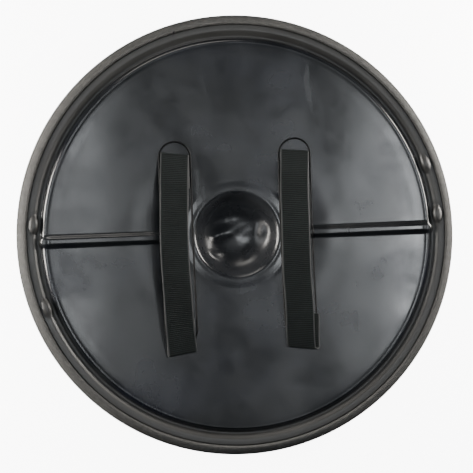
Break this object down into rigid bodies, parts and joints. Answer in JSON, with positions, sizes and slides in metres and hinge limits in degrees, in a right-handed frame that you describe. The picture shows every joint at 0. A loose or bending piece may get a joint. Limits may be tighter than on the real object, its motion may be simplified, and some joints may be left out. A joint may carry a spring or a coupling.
{
  "type": "kick target",
  "caption": "Round padded hand-held kick target seen from its ribbed, dished back shell, with a central bowl and parallel webbing arm straps",
  "frame": {"origin": "centre of the flat strike face, on the surface it rests on", "axes": "+Z out of the back, through the shell and straps; +Y along the straps, towards their folded tops; +X along the shell's ribs"},
  "size_m": [0.6, 0.6, 0.1],
  "materials": {
    "shell_plastic": "satin gloss, vacuum formed",
    "rim_rubber": "matte, grainy",
    "cover_vinyl": "grained synthetic leather",
    "piping_vinyl": "smooth synthetic leather piping",
    "foam_soft": "open strike foam",
    "foam_firm": "closed-cell foam",
    "webbing": "cross-ribbed webbing",
    "rivet_steel": "plain",
    "plate_steel": "zinc plated"
  },
  "bodies": {
    "root": {"back_shell": "shell_plastic", "rim_ring": "rim_rubber", "cover_side_band": "cover_vinyl", "front_piping": "piping_vinyl", "cover_front": "cover_vinyl", "foam_strike_layer": "foam_soft", "foam_core": "foam_firm", "strap_left_top_end": "webbing", "strap_left_top_rivet_1": "rivet_steel", "strap_left_top_rivet_2": "rivet_steel", "strap_left_top_plate": "plate_steel", "strap_left_bottom_end": "webbing", "strap_left_bottom_rivet_1": "rivet_steel", "strap_left_bottom_rivet_2": "rivet_steel", "strap_left_bottom_plate": "plate_steel", "strap_right_top_end": "webbing", "strap_right_top_rivet_1": "rivet_steel", "strap_right_top_rivet_2": "rivet_steel", "strap_right_top_plate": "plate_steel", "strap_right_bottom_end": "webbing", "strap_right_bottom_rivet_1": "rivet_steel", "strap_right_bottom_rivet_2": "rivet_steel", "strap_right_bottom_plate": "plate_steel"},
    "strap_left": {"strap_left_band": "webbing"},
    "strap_right": {"strap_right_band": "webbing"}
  },
  "joints": [
    {"name": "strap_left_swing", "type": "hinge", "parent": "root", "child": "strap_left", "pos_m": [-0.083, 0, 0.081], "axis": [0, 1, 0], "range_deg": [-25, 25], "stiffness_Nm_per_rad": 0.05},
    {"name": "strap_right_swing", "type": "hinge", "parent": "root", "child": "strap_right", "pos_m": [0.083, 0, 0.081], "axis": [0, 1, 0], "range_deg": [-25, 25], "stiffness_Nm_per_rad": 0.05}
  ]
}
